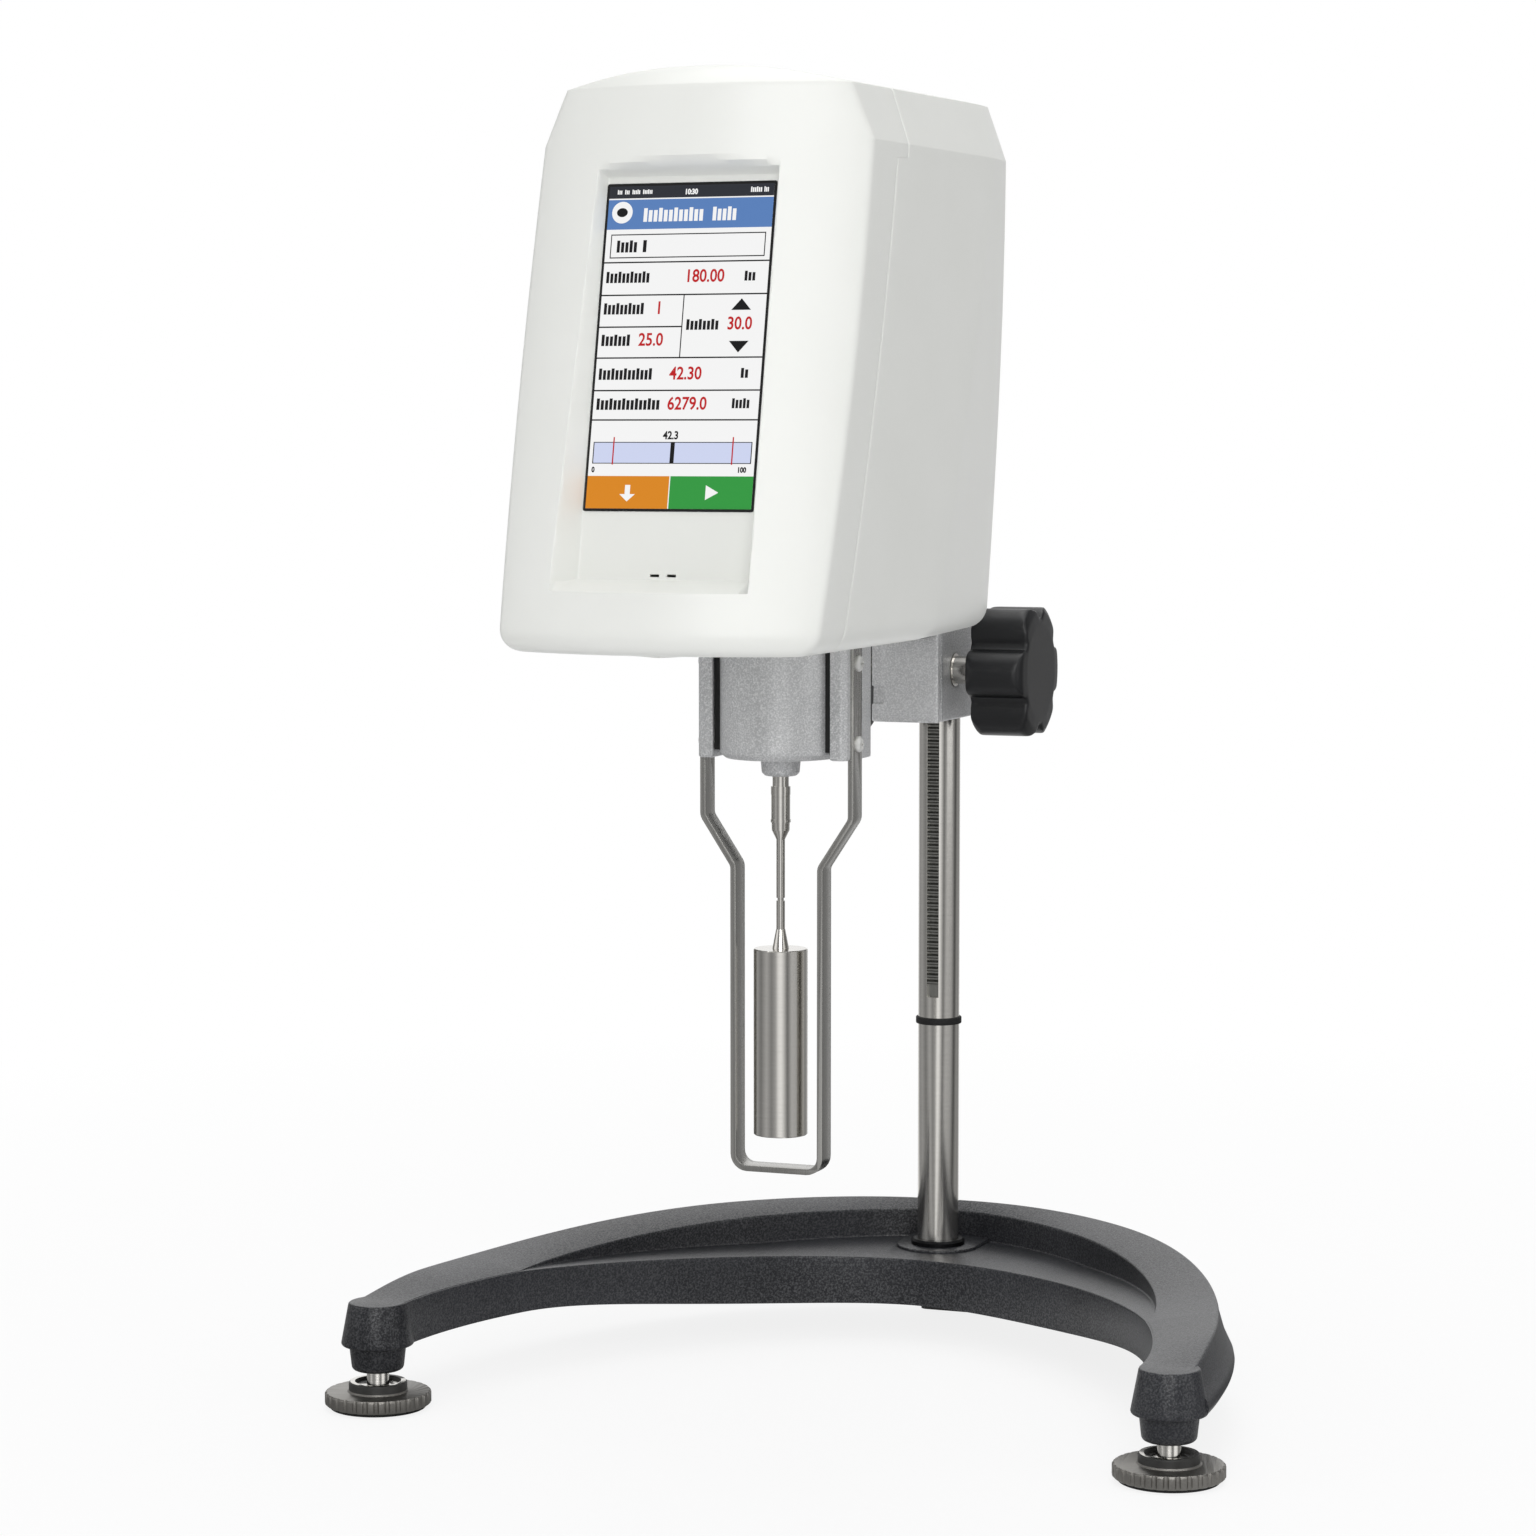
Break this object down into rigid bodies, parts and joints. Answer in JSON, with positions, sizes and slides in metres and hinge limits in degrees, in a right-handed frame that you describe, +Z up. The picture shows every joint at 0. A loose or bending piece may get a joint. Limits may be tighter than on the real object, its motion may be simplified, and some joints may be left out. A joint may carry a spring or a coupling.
{
  "type": "rotational viscometer",
  "caption": "Rotational viscometer: a touch-screen measuring head with a guarded cylindrical spindle, on a rack-and-pinion column over a crescent levelling stand.",
  "frame": {"origin": "middle of the footprint box, on the surface the feet rest on", "axes": "+Z up along the column; the screen faces -Y; +X is to the right of someone facing the screen"},
  "size_m": [0.3298, 0.3404, 0.4692],
  "materials": {
    "base_paint": "fine-textured charcoal paint on iron",
    "bright_steel": "ground stainless steel",
    "rack_steel": "machined steel",
    "foot_steel": "dark nickel-plated steel",
    "dark_steel": "blackened steel",
    "zinc_steel": "zinc-plated steel",
    "guard_steel": "brushed stainless strip",
    "spring_steel": "tempered spring steel",
    "silver_paint": "silver-grey textured paint on cast aluminium",
    "plain_aluminium": "plain sheet aluminium",
    "white_gloss": "glossy white enamel on moulded covers",
    "black_rubber": "matt black rubber",
    "black_plastic": "satin black phenolic",
    "bush_plastic": "acetal",
    "screen_glass": "display glass",
    "board_green": "printed-circuit board",
    "brass": "turned brass",
    "bearing_red": "jewel bearing",
    "rocker_red": "moulded rocker",
    "level_liquid": "bubble-level capsule"
  },
  "bodies": {
    "stand": {"base_casting": "base_paint", "column": "bright_steel", "gear_rack": "rack_steel", "stop_ring": "black_rubber", "column_collar": "dark_steel", "column_bolt": "zinc_steel", "column_top_stop": "dark_steel", "rear_foot": "black_rubber"},
    "left_glide": {"left_foot_pad": "black_rubber"},
    "left_foot": {"left_foot_screw": "foot_steel"},
    "right_glide": {"right_foot_pad": "black_rubber"},
    "right_foot": {"right_foot_screw": "foot_steel"},
    "carriage": {"lift_block": "silver_paint", "column_bushes": "bush_plastic", "shaft_bushes": "bright_steel", "tension_plug": "bush_plastic", "tension_screw": "dark_steel", "block_gasket": "black_rubber", "head_arm": "silver_paint", "block_screws": "dark_steel", "arm_screws": "dark_steel", "chassis_casting": "silver_paint", "front_cover": "white_gloss", "rear_cover": "white_gloss", "cover_screws": "zinc_steel", "display_glass": "screen_glass", "display_module": "board_green", "main_board": "board_green", "board_standoffs": "brass", "guard_leg": "guard_steel", "guard_screws": "zinc_steel", "motor_plate": "plain_aluminium", "motor_standoffs": "brass", "stepper_motor": "dark_steel", "pivot_bearing": "bearing_red", "power_switch_frame": "black_plastic", "power_inlet": "black_plastic", "data_port": "zinc_steel", "level_cup": "black_plastic", "level_glass": "level_liquid"},
    "pinion": {"pinion_shaft": "bright_steel", "left_knob": "black_plastic", "right_knob": "black_plastic"},
    "drive": {"motor_shaft": "bright_steel", "drive_cage": "brass", "hairspring": "spring_steel"},
    "pivot": {"pivot_shaft": "bright_steel", "spindle": "bright_steel"},
    "rocker": {"power_rocker": "rocker_red"}
  },
  "joints": [
    {"name": "carriage_slide", "type": "slide", "parent": "stand", "child": "carriage", "axis": [0, 0, 1], "range_m": [-0.088, 0.06]},
    {"name": "pinion_turn", "type": "hinge", "parent": "carriage", "child": "pinion", "pos_m": [0, 0.11718, 0.2577], "axis": [1, 0, 0], "range_deg": [-290, 424]},
    {"name": "drive_spin", "type": "hinge", "parent": "carriage", "child": "drive", "pos_m": [0, -0.03932, 0.3], "axis": [0, 0, 1], "continuous": true},
    {"name": "spindle_windup", "type": "hinge", "parent": "drive", "child": "pivot", "pos_m": [0, -0.03932, 0.24], "axis": [0, 0, 1], "range_deg": [0, 80], "stiffness_Nm_per_rad": 0.000048},
    {"name": "left_foot_height", "type": "slide", "parent": "stand", "child": "left_glide", "axis": [0, 0, -1], "range_m": [0, 0.006]},
    {"name": "left_foot_turn", "type": "hinge", "parent": "left_glide", "child": "left_foot", "pos_m": [-0.1459, -0.06051, 0.003], "axis": [0, 0, -1], "range_deg": [0, 1728]},
    {"name": "right_foot_height", "type": "slide", "parent": "stand", "child": "right_glide", "axis": [0, 0, -1], "range_m": [0, 0.006]},
    {"name": "right_foot_turn", "type": "hinge", "parent": "right_glide", "child": "right_foot", "pos_m": [0.1459, -0.06051, 0.003], "axis": [0, 0, -1], "range_deg": [0, 1728]},
    {"name": "power_rock", "type": "hinge", "parent": "carriage", "child": "rocker", "pos_m": [-0.027, 0.06264, 0.33794], "axis": [1, 0, 0], "range_deg": [-16, 0]}
  ],
  "couplings": [
    {"joint": "pinion_turn", "follows": "carriage_slide", "rad_per_m": -83.333},
    {"joint": "left_foot_turn", "follows": "left_foot_height", "rad_per_m": 5026.5},
    {"joint": "right_foot_turn", "follows": "right_foot_height", "rad_per_m": 5026.5}
  ]
}
